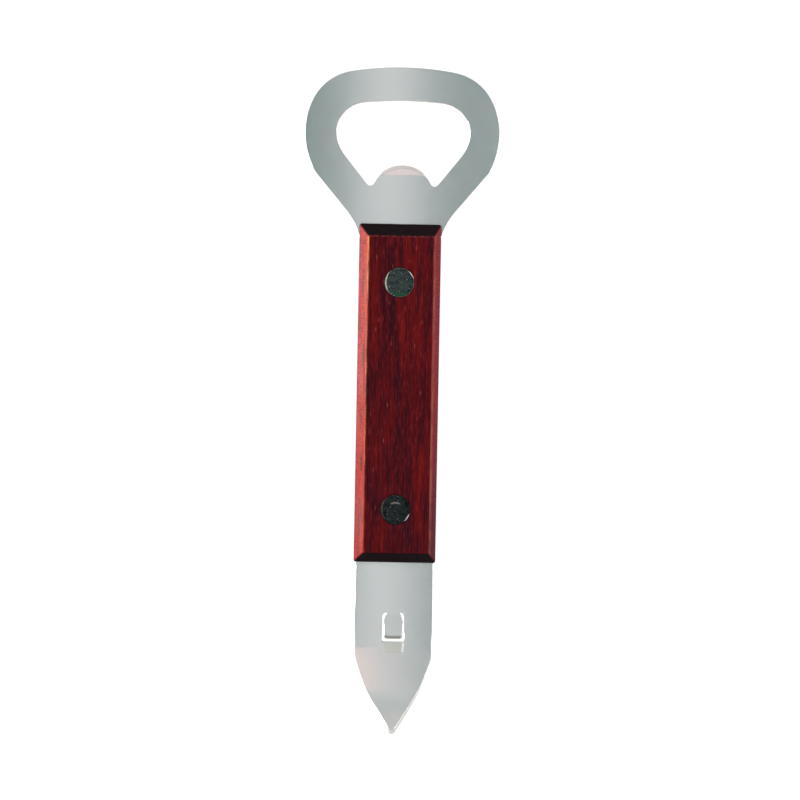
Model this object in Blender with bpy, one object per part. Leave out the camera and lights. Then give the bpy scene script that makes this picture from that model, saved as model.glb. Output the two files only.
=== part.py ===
"""Flat bottle opener and can punch with a riveted wooden handle.

One steel stamping runs the whole length: a cap-lifting loop at one end, a tang between two wooden
scales, and a bent can punch with a lanced hook at the other. Two two-part rivets hold the scales.
+Y runs along the handle towards the loop and +Z comes out of the front, the side that the lip, the
hook and the point rise from. The flat back of the handle lies on z = 0, and the origin is below the
middle of the object's length.
"""
from math import acos, asin, ceil, cos, pi, radians, sin, sqrt, tan

import bmesh
import bpy
from mathutils import Matrix, Vector

# ---- Driving dimensions, in metres and radians ----

# Along the object, from the top of the loop to the tip of the punch
HEAD_LENGTH = 0.04192         # top of the loop to the upper end of the handle
HANDLE_LENGTH = 0.08988
PUNCH_FLAT_LENGTH = 0.02105   # lower end of the handle to the line where the punch bends
PUNCH_BENT_LENGTH = 0.02385   # bend line to the tip, as seen from the front

SHEET_THICKNESS = 0.0020
CONTACT_GAP = 0.0003          # between any two pieces that touch
CHORD_ERROR = 0.00001         # how far a chord may stray from its arc

# Loop, outside; headings are counted down from straight across the top
LOOP_WIDTH = 0.05184
LOOP_TOP_RADIUS = 0.079
LOOP_SHOULDER_RADIUS = 0.0139
LOOP_SHOULDER_END = radians(59.3)
LOOP_UPPER_SIDE_RADIUS = 0.0184
LOOP_LOWER_SIDE_RADIUS = 0.023
LOOP_LOWER_SIDE_END = radians(115)
LOOP_CORNER_RADIUS = 0.006
LOOP_FLANK_ANGLE = radians(40)     # from the handle's line
NECK_FILLET_RADIUS = 0.018

# Loop, inside: the mouth that grips a 32 mm crown cap
MOUTH_WIDTH = 0.03568
MOUTH_OFFSET = 0.0003         # the mouth and its lip are punched this far right of the middle
TOP_BAR_WIDTH = 0.0089        # metal between the mouth and the top of the loop
MOUTH_REACH = 0.01715         # lip to top bar, as seen from the front
MOUTH_TOP_RADIUS = 0.1005
MOUTH_SHOULDER_RADIUS = 0.0084
MOUTH_SHOULDER_END = radians(77)
MOUTH_UPPER_SIDE_RADIUS = 0.0051
MOUTH_LOWER_SIDE_RADIUS = 0.0105
MOUTH_FLANK_ANGLE = radians(38.5)
NOTCH_RADIUS = 0.0012         # relief at each foot of the lip
LIP_RADIUS = 0.0083
LIP_RAISED_LENGTH = 0.0029    # crease to lip edge, as seen from the front
LIP_ANGLE = radians(28)
LIP_BEND_RADIUS = 0.0013      # of the sheet's middle, as are the other bend radii

# Punch
PUNCH_FLARE = 0.00015         # how much each side spreads between the handle and the bend
WAIST_DEPTH = 0.00022         # how much each side draws in on the bend
WAIST_LENGTH = 0.0022         # from the bend line back to where the side starts to draw in
SHOULDER_DISTANCE = 0.0046    # bend line to the start of the taper, along the sheet
SHOULDER_RADIUS = 0.008
POINT_LENGTH = 0.0147         # sharp end of the point to where its sides meet the taper
POINT_HALF_ANGLE = radians(26.6)
POINT_SIDE_RADIUS = 0.020
TIP_RADIUS = 0.0010
PUNCH_BEND_RADIUS = 0.0080
PUNCH_BEND_ANGLE = radians(24)
CURL_RADIUS = 0.030           # second, gentler bend, near the tip
CURL_ANGLE = radians(18)
TIP_STRAIGHT_LENGTH = 0.0054  # from the end of the curl to the tip, along the sheet

# Hook: a tab lanced out of the flat, which catches under the rim of a can
HOOK_ROOT_DISTANCE = 0.0076   # back from the bend line
WINDOW_LENGTH = 0.0078        # root of the hook to the lower edge of the window
WINDOW_WIDTH = 0.0058
WINDOW_SHOULDER_RADIUS = 0.0011
WINDOW_CORNER_RADIUS = 0.0005
HOOK_NECK_WIDTH = 0.0034
HOOK_SHOULDER_WIDTH = 0.0051  # its widest place, where the slit is narrowest
HOOK_SHOULDER_DISTANCE = 0.0030
HOOK_END_WIDTH = 0.0047
HOOK_REACH = 0.0070           # from the root, as seen from the front
HOOK_CORNER_RADIUS = 0.0007
HOOK_BEND_RADIUS = 0.0030
HOOK_ANGLE = radians(28)

# Handle scales
HANDLE_WIDTH = 0.0217
SCALE_THICKNESS = 0.0055
SCALE_CHAMFER_DEPTH = 0.0024
SCALE_LEFT_CHAMFER = 0.0025   # as seen from the front, across the face, as is the next
SCALE_RIGHT_CHAMFER = 0.0019
SCALE_UPPER_CHAMFER = 0.0034
SCALE_LOWER_CHAMFER = 0.0025
SCALE_CORNER_RADIUS = 0.0006
TANG_INSET = 0.0006           # how far each edge of the tang stays inside the wood

# Rivets, each a post pressed into a socket
UPPER_RIVET_INSET = 0.0156    # from the upper end of the handle
LOWER_RIVET_INSET = 0.0141    # from the lower end
RIVET_HEAD_DIAMETER = 0.0080
RIVET_HEAD_THICKNESS = 0.0012
RIVET_HEAD_RECESS = 0.0001    # how far the heads sit below the wood
RIVET_SHANK_DIAMETER = 0.0026
RIVET_TUBE_WALL = 0.0006
RIVET_END_CLEARANCE = 0.0005
RIVET_RIM_CHAMFER = 0.00015

# ---- Places worked out from them ----

TOTAL_LENGTH = HEAD_LENGTH + HANDLE_LENGTH + PUNCH_FLAT_LENGTH + PUNCH_BENT_LENGTH
LOOP_TOP_Y = TOTAL_LENGTH / 2
HANDLE_TOP_Y = LOOP_TOP_Y - HEAD_LENGTH
HANDLE_BOTTOM_Y = HANDLE_TOP_Y - HANDLE_LENGTH
BEND_LINE_Y = HANDLE_BOTTOM_Y - PUNCH_FLAT_LENGTH
SHEET_MIDDLE_Z = SCALE_THICKNESS + CONTACT_GAP + SHEET_THICKNESS / 2
FRONT_FACE_Z = 2 * SHEET_MIDDLE_Z
HALF_SHEET = SHEET_THICKNESS / 2
TANG_HALF_WIDTH = HANDLE_WIDTH / 2 - TANG_INSET
UPPER_RIVET_Y = HANDLE_TOP_Y - UPPER_RIVET_INSET
LOWER_RIVET_Y = HANDLE_BOTTOM_Y + LOWER_RIVET_INSET
RIVET_BORE_RADIUS = RIVET_SHANK_DIAMETER / 2 + CONTACT_GAP
RIVET_TUBE_RADIUS = RIVET_BORE_RADIUS + RIVET_TUBE_WALL
RIVET_HOLE_RADIUS = RIVET_TUBE_RADIUS + CONTACT_GAP
ROUND_STEPS = 48


# ---- Outlines ----

def arc_points(centre, radius, start, end):
    """Points along an arc from one angle to another, without its first point."""
    step = 2 * acos(1 - CHORD_ERROR / radius)
    count = max(2, ceil(abs(end - start) / step))
    angles = [start + (end - start) * i / count for i in range(1, count + 1)]
    return [centre + radius * Vector((cos(a), sin(a))) for a in angles]


class Route:
    """An outline drawn as tangent arcs and straights; heading 0 points along +X."""

    def __init__(self, start, heading):
        self.points = [Vector(start)]
        self.heading = heading

    def straight(self, length):
        along = Vector((cos(self.heading), sin(self.heading)))
        self.points.append(self.points[-1] + length * along)

    def turn_to(self, heading, radius):
        side = 1 if heading > self.heading else -1
        across = Vector((-sin(self.heading), cos(self.heading)))
        centre = self.points[-1] + side * radius * across
        start = self.heading - side * pi / 2
        self.points += arc_points(centre, radius, start, heading - side * pi / 2)
        self.heading = heading


def rounded(corners):
    """Points of a line through corners (x, y, radius), each corner rounded by its radius."""
    points = []
    for i, (x, y, radius) in enumerate(corners):
        corner = Vector((x, y))
        if radius == 0:
            points.append(corner)
            continue
        before = (Vector(corners[i - 1][:2]) - corner).normalized()
        after = (Vector(corners[i + 1][:2]) - corner).normalized()
        half = before.angle(after) / 2
        centre = corner + (before + after).normalized() * radius / sin(half)
        first = corner + before * radius / tan(half) - centre
        turn = first.angle_signed(corner + after * radius / tan(half) - centre)
        start = Vector((1, 0)).angle_signed(first)
        points.append(centre + first)
        points += arc_points(centre, radius, -start, -start - turn)
    return points


def circle(x, y, radius):
    return arc_points(Vector((x, y)), radius, 0, 2 * pi)


def mirrored(half):
    """Close a right-hand half, which starts and ends on the middle line, with its mirror image."""
    left = [Vector((-p.x, p.y)) for p in reversed(half[1:-1])]
    return half + left


# ---- Bending a flat sheet ----

def bent_place(distance, height, bends):
    """Where a point of the flat sheet goes: how far along, and how far up.

    distance runs along the sheet from where the bends are counted, height is measured from the
    sheet's middle, and each bend is (start, radius, angle) and rises.
    """
    along = up = slope = reached = 0.0
    for start, radius, angle in bends:
        if distance <= start:
            break
        along += (start - reached) * cos(slope)
        up += (start - reached) * sin(slope)
        arc = min(distance - start, radius * angle)
        new_slope = slope + arc / radius
        along += radius * (sin(new_slope) - sin(slope))
        up += radius * (cos(slope) - cos(new_slope))
        slope = new_slope
        reached = start + arc
    along += (distance - reached) * cos(slope)
    up += (distance - reached) * sin(slope)
    return along - height * sin(slope), up + height * cos(slope)


def bend_rows(bends, steps):
    """Distances at which the flat sheet is cut into rows, so that it bends smoothly."""
    rows = []
    for start, radius, angle in bends:
        rows += [start + radius * angle * i / steps for i in range(steps + 1)]
    return rows


# Lip: rises from its crease, and its outermost edge is the back edge of the cut end
lip_bends = [(0.0, LIP_BEND_RADIUS, LIP_ANGLE)]
lip_straight = (LIP_RAISED_LENGTH - HALF_SHEET * sin(LIP_ANGLE)
                - LIP_BEND_RADIUS * sin(LIP_ANGLE)) / cos(LIP_ANGLE)
lip_flat_length = LIP_BEND_RADIUS * LIP_ANGLE + lip_straight
LIP_CREASE_Y = LOOP_TOP_Y - TOP_BAR_WIDTH - MOUTH_REACH - LIP_RAISED_LENGTH
LIP_TIP_Y = LIP_CREASE_Y + lip_flat_length

# Punch: a first bend, a straight, the curl, and the last straight to the tip
tip_angle = PUNCH_BEND_ANGLE + CURL_ANGLE
after_first_bend = (PUNCH_BENT_LENGTH - HALF_SHEET * sin(tip_angle)
                    - PUNCH_BEND_RADIUS * sin(PUNCH_BEND_ANGLE))
curl_run = CURL_RADIUS * (sin(tip_angle) - sin(PUNCH_BEND_ANGLE))
middle_run = after_first_bend - curl_run - TIP_STRAIGHT_LENGTH * cos(tip_angle)
curl_start = PUNCH_BEND_RADIUS * PUNCH_BEND_ANGLE + middle_run / cos(PUNCH_BEND_ANGLE)
punch_bends = [
    (0.0, PUNCH_BEND_RADIUS, PUNCH_BEND_ANGLE),
    (curl_start, CURL_RADIUS, CURL_ANGLE),
]
punch_flat_reach = curl_start + CURL_RADIUS * CURL_ANGLE + TIP_STRAIGHT_LENGTH

# Hook: rises from its root, at the handle's end of the window
HOOK_ROOT_Y = BEND_LINE_Y + HOOK_ROOT_DISTANCE
WINDOW_END_Y = HOOK_ROOT_Y - WINDOW_LENGTH
hook_bends = [(0.0, HOOK_BEND_RADIUS, HOOK_ANGLE)]
hook_straight = (HOOK_REACH - HALF_SHEET * sin(HOOK_ANGLE)
                 - HOOK_BEND_RADIUS * sin(HOOK_ANGLE)) / cos(HOOK_ANGLE)
HOOK_END_Y = HOOK_ROOT_Y - HOOK_BEND_RADIUS * HOOK_ANGLE - hook_straight
HOOK_MARGIN = (WINDOW_WIDTH - HOOK_SHOULDER_WIDTH) / 10


# ---- Outlines of the flat stamping ----

def arched_top(top_y, width, top_radius, shoulder_radius, shoulder_end, side_radius):
    """Three arcs from the middle of a flat arch to its widest place, where they run straight down."""
    top_end = asin((width / 2 - side_radius + (side_radius - shoulder_radius) * sin(shoulder_end))
                   / (top_radius - shoulder_radius))
    side = Route((0, top_y), 0)
    side.turn_to(-top_end, top_radius)
    side.turn_to(-shoulder_end, shoulder_radius)
    side.turn_to(-pi / 2, side_radius)
    return side


def loop_outline():
    """Right side of the loop, from the middle of its top down to the straight side of the tang."""
    side = arched_top(LOOP_TOP_Y, LOOP_WIDTH, LOOP_TOP_RADIUS, LOOP_SHOULDER_RADIUS,
                      LOOP_SHOULDER_END, LOOP_UPPER_SIDE_RADIUS)
    side.turn_to(-LOOP_LOWER_SIDE_END, LOOP_LOWER_SIDE_RADIUS)
    side.turn_to(-pi / 2 - LOOP_FLANK_ANGLE, LOOP_CORNER_RADIUS)
    fillet_width = NECK_FILLET_RADIUS * (1 - cos(LOOP_FLANK_ANGLE))
    narrowing = side.points[-1].x - TANG_HALF_WIDTH - fillet_width
    side.straight(narrowing / sin(LOOP_FLANK_ANGLE))
    side.turn_to(-pi / 2, NECK_FILLET_RADIUS)
    return side.points


def punch_outline():
    """Right side of the punch, from the lower end of the handle to the tip."""
    sharp_end = punch_flat_reach + TIP_RADIUS * (1 / sin(POINT_HALF_ANGLE) - 1)
    punch_half_width = TANG_HALF_WIDTH + PUNCH_FLARE
    corners = [
        (TANG_HALF_WIDTH, HANDLE_BOTTOM_Y, 0),
        (punch_half_width, BEND_LINE_Y + WAIST_LENGTH, SHOULDER_RADIUS),
        (punch_half_width - WAIST_DEPTH, BEND_LINE_Y - SHOULDER_DISTANCE / 5, SHOULDER_RADIUS),
        (punch_half_width, BEND_LINE_Y - SHOULDER_DISTANCE, SHOULDER_RADIUS),
        (POINT_LENGTH * tan(POINT_HALF_ANGLE), BEND_LINE_Y - sharp_end + POINT_LENGTH,
         POINT_SIDE_RADIUS),
        (0, BEND_LINE_Y - sharp_end, 0),
    ]
    side = rounded(corners)[:-1]
    tip_centre = Vector((0, BEND_LINE_Y - punch_flat_reach + TIP_RADIUS))
    first = tip_centre + TIP_RADIUS * Vector((cos(POINT_HALF_ANGLE), -sin(POINT_HALF_ANGLE)))
    return side + [first] + arc_points(tip_centre, TIP_RADIUS, -POINT_HALF_ANGLE, -pi / 2)


def mouth_outline():
    """Right side of the mouth, from the middle of its top round to the middle of the lip."""
    side = arched_top(LOOP_TOP_Y - TOP_BAR_WIDTH, MOUTH_WIDTH, MOUTH_TOP_RADIUS,
                      MOUTH_SHOULDER_RADIUS, MOUTH_SHOULDER_END, MOUTH_UPPER_SIDE_RADIUS)
    side.turn_to(-pi / 2 - MOUTH_FLANK_ANGLE, MOUTH_LOWER_SIDE_RADIUS)

    # The notch touches the flank and the lip's circle, so its centre is found from both
    lip_centre = Vector((0, LIP_TIP_Y - LIP_RADIUS))
    along = Vector((cos(side.heading), sin(side.heading)))
    inward = Vector((along.y, -along.x))
    line_point = side.points[-1] + NOTCH_RADIUS * inward
    reach = LIP_RADIUS + NOTCH_RADIUS
    offset = line_point - lip_centre
    middle = -offset.dot(along)
    half_chord = sqrt(reach ** 2 - (offset + middle * along).length ** 2)
    side.straight(middle - half_chord)
    notch_centre = line_point + (middle - half_chord) * along
    to_notch = notch_centre - lip_centre
    lip_side = Vector((1, 0)).angle_signed(to_notch)
    side.turn_to(-3 * pi / 2 - lip_side, NOTCH_RADIUS)
    side.turn_to(-pi, LIP_RADIUS)
    side.points[-1].x = 0
    return side.points


def hook_slot():
    """Right side of the cut round the hook, from the middle of the hook's end to the window's."""
    return rounded([
        (0, HOOK_END_Y, 0),
        (HOOK_END_WIDTH / 2, HOOK_END_Y, HOOK_CORNER_RADIUS),
        (HOOK_SHOULDER_WIDTH / 2, HOOK_ROOT_Y - HOOK_SHOULDER_DISTANCE, HOOK_CORNER_RADIUS),
        (HOOK_NECK_WIDTH / 2, HOOK_ROOT_Y, 0),
        (WINDOW_WIDTH / 2, HOOK_ROOT_Y, WINDOW_SHOULDER_RADIUS),
        (WINDOW_WIDTH / 2, WINDOW_END_Y, WINDOW_CORNER_RADIUS),
        (0, WINDOW_END_Y, 0),
    ])


def in_hook(x, y):
    """Whether a point of the flat sheet is on the hook, not on the metal across the slit from it."""
    widening = min((HOOK_ROOT_Y - y) / HOOK_SHOULDER_DISTANCE, 1)
    width = HOOK_NECK_WIDTH + widening * (HOOK_SHOULDER_WIDTH - HOOK_NECK_WIDTH)
    in_width = abs(x) < width / 2 + HOOK_MARGIN
    return in_width and (HOOK_END_Y + WINDOW_END_Y) / 2 < y < HOOK_ROOT_Y


# ---- Objects ----

def add_object(name, mesh_source, material):
    mesh = bpy.data.meshes.new(name)
    mesh_source.to_mesh(mesh)
    mesh_source.free()
    mesh.materials.append(material)
    thing = bpy.data.objects.new(name, mesh)
    bpy.context.scene.collection.objects.link(thing)
    return thing


def add_material(name, colour, metallic, roughness):
    material = bpy.data.materials.new(name)
    material.use_nodes = True
    shader = material.node_tree.nodes["Principled BSDF"]
    shader.inputs["Base Color"].default_value = (*colour, 1.0)
    shader.inputs["Metallic"].default_value = metallic
    shader.inputs["Roughness"].default_value = roughness
    return material


def turned(profile):
    """A round solid: profile is a closed outline of (radius, z) that touches the axis."""
    shape = bmesh.new()
    verts = [shape.verts.new((radius, 0, z)) for radius, z in profile]
    edges = [shape.edges.new(pair) for pair in zip(verts, verts[1:])]
    bmesh.ops.spin(shape, geom=verts + edges, cent=(0, 0, 0), axis=(0, 0, 1),
                   angle=2 * pi, steps=ROUND_STEPS, use_merge=True)
    bmesh.ops.remove_doubles(shape, verts=shape.verts, dist=1e-6)
    bmesh.ops.recalc_face_normals(shape, faces=shape.faces)
    return shape


def shade_round(thing):
    thing.data.shade_smooth()
    thing.data.set_sharp_from_angle(angle=radians(30))


def cut_with(thing, cutter):
    cutter.hide_render = True
    cutter.display_type = "WIRE"
    cut = thing.modifiers.new(cutter.name, "BOOLEAN")
    cut.operation = "DIFFERENCE"
    cut.solver = "EXACT"
    cut.object = cutter


def blade_mesh():
    """The flat stamping, cut into rows across each bend, given its thickness and bent."""
    outline = mirrored(loop_outline() + punch_outline())
    holes = [
        [p + Vector((MOUTH_OFFSET, 0)) for p in mirrored(mouth_outline())],
        circle(0, UPPER_RIVET_Y, RIVET_HOLE_RADIUS),
        circle(0, LOWER_RIVET_Y, RIVET_HOLE_RADIUS),
        mirrored(hook_slot()),
    ]
    sheet = bmesh.new()
    edges = []
    for loop in [outline, *holes]:
        verts = [sheet.verts.new((p.x, p.y, 0)) for p in loop]
        edges += [sheet.edges.new(pair) for pair in zip(verts, verts[1:] + verts[:1])]
    bmesh.ops.triangle_fill(sheet, use_beauty=True, edges=edges, normal=(0, 0, 1))

    rows = [LIP_CREASE_Y + d for d in bend_rows(lip_bends, 5)]
    rows += [BEND_LINE_Y - d for d in bend_rows(punch_bends, 8)]
    rows += [HOOK_ROOT_Y - d for d in bend_rows(hook_bends, 6)]
    for y in rows:
        geometry = sheet.verts[:] + sheet.edges[:] + sheet.faces[:]
        bmesh.ops.bisect_plane(sheet, geom=geometry, dist=1e-6, plane_co=(0, y, 0),
                               plane_no=(0, 1, 0))

    for vert in sheet.verts:
        vert.co.z = -HALF_SHEET
    raised = bmesh.ops.extrude_face_region(sheet, geom=sheet.faces[:])["geom"]
    for item in raised:
        if isinstance(item, bmesh.types.BMVert):
            item.co.z = HALF_SHEET
    bmesh.ops.recalc_face_normals(sheet, faces=sheet.faces)

    for vert in sheet.verts:
        x, y, height = vert.co
        if abs(x - MOUTH_OFFSET) < LIP_RADIUS and LIP_CREASE_Y < y < LIP_TIP_Y + NOTCH_RADIUS:
            along, up = bent_place(y - LIP_CREASE_Y, height, lip_bends)
            vert.co.y = LIP_CREASE_Y + along
            vert.co.z = up
        elif y < BEND_LINE_Y:
            along, up = bent_place(BEND_LINE_Y - y, height, punch_bends)
            vert.co.y = BEND_LINE_Y - along
            vert.co.z = up
        elif in_hook(x, y):
            along, up = bent_place(HOOK_ROOT_Y - y, height, hook_bends)
            vert.co.y = HOOK_ROOT_Y - along
            vert.co.z = up
    return sheet


def scale_mesh():
    """One wooden scale, flat side down on z = 0, with its chamfered face up."""
    block = bmesh.new()
    bmesh.ops.create_cube(block, size=1)
    wall_height = SCALE_THICKNESS - SCALE_CHAMFER_DEPTH
    bmesh.ops.scale(block, vec=(HANDLE_WIDTH, HANDLE_LENGTH, wall_height), verts=block.verts)
    bmesh.ops.translate(block, vec=(0, 0, wall_height / 2), verts=block.verts)
    uprights = [e for e in block.edges if abs(e.verts[0].co.z - e.verts[1].co.z) > wall_height / 2]
    bmesh.ops.bevel(block, geom=uprights, offset=SCALE_CORNER_RADIUS, offset_type="OFFSET",
                    segments=4, profile=0.5, affect="EDGES", clamp_overlap=True)
    top = [f for f in block.faces if f.normal.z > 0.9]
    raised = bmesh.ops.extrude_face_region(block, geom=top)["geom"]
    bmesh.ops.delete(block, geom=top, context="FACES")
    for item in raised:
        if isinstance(item, bmesh.types.BMVert):
            side_chamfer = SCALE_RIGHT_CHAMFER if item.co.x > 0 else SCALE_LEFT_CHAMFER
            end_chamfer = SCALE_UPPER_CHAMFER if item.co.y > 0 else SCALE_LOWER_CHAMFER
            shrink_x = 1 - 2 * side_chamfer / HANDLE_WIDTH
            shrink_y = 1 - 2 * end_chamfer / HANDLE_LENGTH
            item.co = (item.co.x * shrink_x, item.co.y * shrink_y, SCALE_THICKNESS)
    bmesh.ops.recalc_face_normals(block, faces=block.faces)
    return block


def add_scale(name, side, centre_y, material):
    """side is 1 for the front scale and -1 for the back one, which is the same part turned over."""
    shape = scale_mesh()
    if side < 0:
        bmesh.ops.rotate(shape, verts=shape.verts, matrix=Matrix.Rotation(pi, 3, "Y"))
    scale = add_object(name, shape, material)
    scale.location = (0, centre_y, SHEET_MIDDLE_Z + side * (HALF_SHEET + CONTACT_GAP))

    # A stepped hole for each rivet: a recess for the head and a through hole for the tube
    seat_depth = RIVET_HEAD_RECESS + RIVET_HEAD_THICKNESS + CONTACT_GAP
    seat = SCALE_THICKNESS - seat_depth
    beyond = SCALE_THICKNESS + CONTACT_GAP
    for label, y in (("upper", UPPER_RIVET_Y), ("lower", LOWER_RIVET_Y)):
        profile = [
            (0, -CONTACT_GAP),
            (RIVET_HOLE_RADIUS, -CONTACT_GAP),
            (RIVET_HOLE_RADIUS, seat),
            (RIVET_HEAD_DIAMETER / 2 + CONTACT_GAP, seat),
            (RIVET_HEAD_DIAMETER / 2 + CONTACT_GAP, beyond),
            (0, beyond),
        ]
        tool = turned(profile)
        if side < 0:
            bmesh.ops.rotate(tool, verts=tool.verts, matrix=Matrix.Rotation(pi, 3, "Y"))
        cutter = add_object(f"{name}_{label}_hole", tool, material)
        cutter.parent = scale
        cutter.location = (0, y - centre_y, 0)
        cut_with(scale, cutter)
    return scale


def add_rivet(label, y, material):
    """A post with its head at the front, and a socket with its head at the back."""
    head_radius = RIVET_HEAD_DIAMETER / 2
    front = FRONT_FACE_Z - RIVET_HEAD_RECESS
    front_seat = front - RIVET_HEAD_THICKNESS
    back = RIVET_HEAD_RECESS
    back_seat = back + RIVET_HEAD_THICKNESS

    post_profile = [
        (0, back_seat + RIVET_END_CLEARANCE),
        (RIVET_SHANK_DIAMETER / 2, back_seat + RIVET_END_CLEARANCE),
        (RIVET_SHANK_DIAMETER / 2, front_seat),
        (head_radius, front_seat),
        (head_radius, front - RIVET_RIM_CHAMFER),
        (head_radius - RIVET_RIM_CHAMFER, front),
        (0, front),
    ]
    socket_profile = [
        (0, back),
        (head_radius - RIVET_RIM_CHAMFER, back),
        (head_radius, back + RIVET_RIM_CHAMFER),
        (head_radius, back_seat),
        (RIVET_TUBE_RADIUS, back_seat),
        (RIVET_TUBE_RADIUS, front_seat - RIVET_END_CLEARANCE),
        (RIVET_BORE_RADIUS, front_seat - RIVET_END_CLEARANCE),
        (RIVET_BORE_RADIUS, back_seat),
        (0, back_seat),
    ]
    for half, profile in (("post", post_profile), ("socket", socket_profile)):
        piece = add_object(f"{label}_rivet_{half}", turned(profile), material)
        piece.location = (0, y, 0)
        shade_round(piece)


# ---- The opener ----

for old in list(bpy.data.objects):
    bpy.data.objects.remove(old, do_unlink=True)

steel = add_material("satin_stainless_steel", (0.60, 0.62, 0.61), 1.0, 0.32)
wood = add_material("red_stained_hardwood", (0.14, 0.012, 0.013), 0.0, 0.35)
dark_steel = add_material("dark_polished_steel", (0.10, 0.12, 0.12), 1.0, 0.30)

blade = add_object("opener_blade", blade_mesh(), steel)
blade.location = (0, 0, SHEET_MIDDLE_Z)

HANDLE_MIDDLE_Y = (HANDLE_TOP_Y + HANDLE_BOTTOM_Y) / 2
add_scale("front_scale", 1, HANDLE_MIDDLE_Y, wood)
add_scale("back_scale", -1, HANDLE_MIDDLE_Y, wood)

add_rivet("upper", UPPER_RIVET_Y, dark_steel)
add_rivet("lower", LOWER_RIVET_Y, dark_steel)
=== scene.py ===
"""Looks of a pressed-steel bottle opener with chamfered, stained wooden scales, laid flat on a pale floor."""
from math import pi, radians

import bpy
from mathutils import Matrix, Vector


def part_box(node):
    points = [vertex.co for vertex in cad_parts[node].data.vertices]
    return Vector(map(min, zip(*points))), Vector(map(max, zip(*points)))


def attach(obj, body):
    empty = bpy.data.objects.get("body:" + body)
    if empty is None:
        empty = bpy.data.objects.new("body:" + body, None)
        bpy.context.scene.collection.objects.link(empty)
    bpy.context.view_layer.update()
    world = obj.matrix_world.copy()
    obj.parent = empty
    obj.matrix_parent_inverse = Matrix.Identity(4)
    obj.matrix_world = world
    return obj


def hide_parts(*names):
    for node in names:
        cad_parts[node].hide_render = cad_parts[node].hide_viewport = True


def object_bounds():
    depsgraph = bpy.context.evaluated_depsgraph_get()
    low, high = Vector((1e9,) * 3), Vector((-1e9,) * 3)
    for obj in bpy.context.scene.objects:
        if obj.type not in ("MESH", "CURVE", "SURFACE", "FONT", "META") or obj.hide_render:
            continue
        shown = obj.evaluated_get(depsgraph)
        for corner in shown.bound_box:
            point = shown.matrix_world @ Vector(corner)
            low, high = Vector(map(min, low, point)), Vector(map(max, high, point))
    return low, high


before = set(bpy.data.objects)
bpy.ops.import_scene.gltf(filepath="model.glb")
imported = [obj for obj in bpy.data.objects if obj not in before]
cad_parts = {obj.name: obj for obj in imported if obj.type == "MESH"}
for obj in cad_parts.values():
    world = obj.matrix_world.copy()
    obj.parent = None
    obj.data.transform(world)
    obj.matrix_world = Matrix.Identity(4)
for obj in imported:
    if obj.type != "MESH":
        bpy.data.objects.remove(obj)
cad_low, cad_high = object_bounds()


# ---- Floor, light and camera ----
# The opener lies on its back scale on a plain white table. Two long strip lights run over it, a
# low panel stands on each side, and dim cards at the ends show only in the steel's bends.
FLOOR_SIZE = 6.0
FLOOR_TONE = "#8c8c8c"
FLOOR_ROUGHNESS = 0.9
FLOOR_GLOW = 0.90             # the table is lit from below, as a light table is
WORLD_COLOUR = "#e5fffc"
WORLD_STRENGTH = 0.36
CAMERA_HEIGHT = 1.0078
CAMERA_AIM = (0.000706, -0.0003)
CAMERA_ROLL = radians(1.06)
CAMERA_LENS = 168.9
CAMERA_SENSOR = 36

# name, place, turn, size across and along or up (m), watts, colour
STUDIO_LIGHTS = (
    ("strip_over_middle", (-0.0041, 0, 0.150), (0, 0, radians(0.25)), (0.010, 6.0), 0.435, "#ffebf0"),
    ("strip_over_right", (0.048, 0, 0.095), (0, 0, 0), (0.009, 6.0), 0.66, "#ffe6f4"),
    ("panel_left", (-0.6, 0.05, 0.05), (0, radians(-90), 0), (0.08, 0.55), 11.5, "#ffffff"),
    ("panel_right", (0.6, 0.05, 0.05), (0, radians(90), 0), (0.08, 0.55), 2.6, "#ffffff"),
    ("card_upper_high", (-0.15, 1.2, 0.75), (radians(-90), 0, 0), (0.45, 1.00), 0.24, "#fff2ee"),
    ("card_upper_low", (0, 1.2, 0.15), (radians(-90), 0, 0), (0.35, 0.26), 0.20, "#ffd4ce"),
    ("card_lower", (0, -1.2, 0.75), (radians(90), 0, 0), (0.35, 0.70), 0.67, "#ffc2be"),
    ("card_over_bend", (-0.018, -0.014, 0.075), (radians(-34), 0, 0), (0.012, 0.026), 0.0017, "#ffb8ae"),
)


def linear(hex_colour):
    """An sRGB hex colour as linear red, green, blue and alpha."""
    parts = [int(hex_colour[i:i + 2], 16) / 255 for i in (1, 3, 5)]
    return (*[p / 12.92 if p <= 0.04045 else ((p + 0.055) / 1.055) ** 2.4 for p in parts], 1.0)


bpy.ops.object.camera_add(location=(*CAMERA_AIM, CAMERA_HEIGHT), rotation=(0, 0, CAMERA_ROLL))
camera = bpy.context.object
camera.name = "camera"
camera.data.lens = CAMERA_LENS
camera.data.sensor_width = CAMERA_SENSOR
bpy.context.scene.camera = camera
bpy.context.scene.view_settings.view_transform = "Standard"

for name, place, turn, size, watts, colour in STUDIO_LIGHTS:
    bpy.ops.object.light_add(type="AREA", location=place, rotation=turn)
    lamp = bpy.context.object
    lamp.name = lamp.data.name = name
    lamp.data.shape = "RECTANGLE"
    lamp.data.size, lamp.data.size_y = size
    lamp.data.energy = watts
    lamp.data.color = linear(colour)[:3]
    lamp.visible_camera = False

world = bpy.data.worlds.new("studio")
bpy.context.scene.world = world
world.use_nodes = True
world.node_tree.nodes["Background"].inputs["Color"].default_value = linear(WORLD_COLOUR)
world.node_tree.nodes["Background"].inputs["Strength"].default_value = WORLD_STRENGTH

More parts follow.
